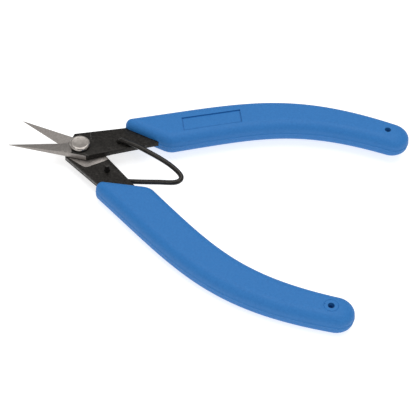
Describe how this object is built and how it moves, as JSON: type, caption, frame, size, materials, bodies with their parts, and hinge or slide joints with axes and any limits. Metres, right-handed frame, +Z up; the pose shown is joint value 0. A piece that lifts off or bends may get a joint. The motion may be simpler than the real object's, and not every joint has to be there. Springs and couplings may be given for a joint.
{
  "type": "spring-opened precision shears",
  "caption": "Fine-pointed shears with plier handles: flat crossing steel arms on a rivet, blue rubber grips and a wire return spring.",
  "frame": {"origin": "bottom centre of the box of the open tool lying on its lower grip", "axes": "+X from the blade tips to the handle ends, +Y towards the upper arm's handle, +Z up along the rivet, from the lower arm to the upper one"},
  "size_m": [0.1308, 0.0942, 0.0109],
  "materials": {
    "black_steel": "black oxide, satin; blades ground bright",
    "blue_rubber": "matte moulded rubber",
    "rivet_steel": "machined flat head, polished rim",
    "wire_steel": "black spring wire, slight sheen"
  },
  "bodies": {
    "lower_half": {"lower_arm": "black_steel", "lower_grip": "blue_rubber", "pivot_rivet": "rivet_steel", "return_spring": "wire_steel"},
    "upper_half": {"upper_arm": "black_steel", "upper_grip": "blue_rubber"}
  },
  "joints": [
    {"name": "pivot_hinge", "type": "hinge", "parent": "lower_half", "child": "upper_half", "pos_m": [-0.04172, 0, 0.00545], "axis": [0, 0, -1], "range_deg": [0, 33], "stiffness_Nm_per_rad": 0.6, "deforming": ["return_spring"]}
  ]
}
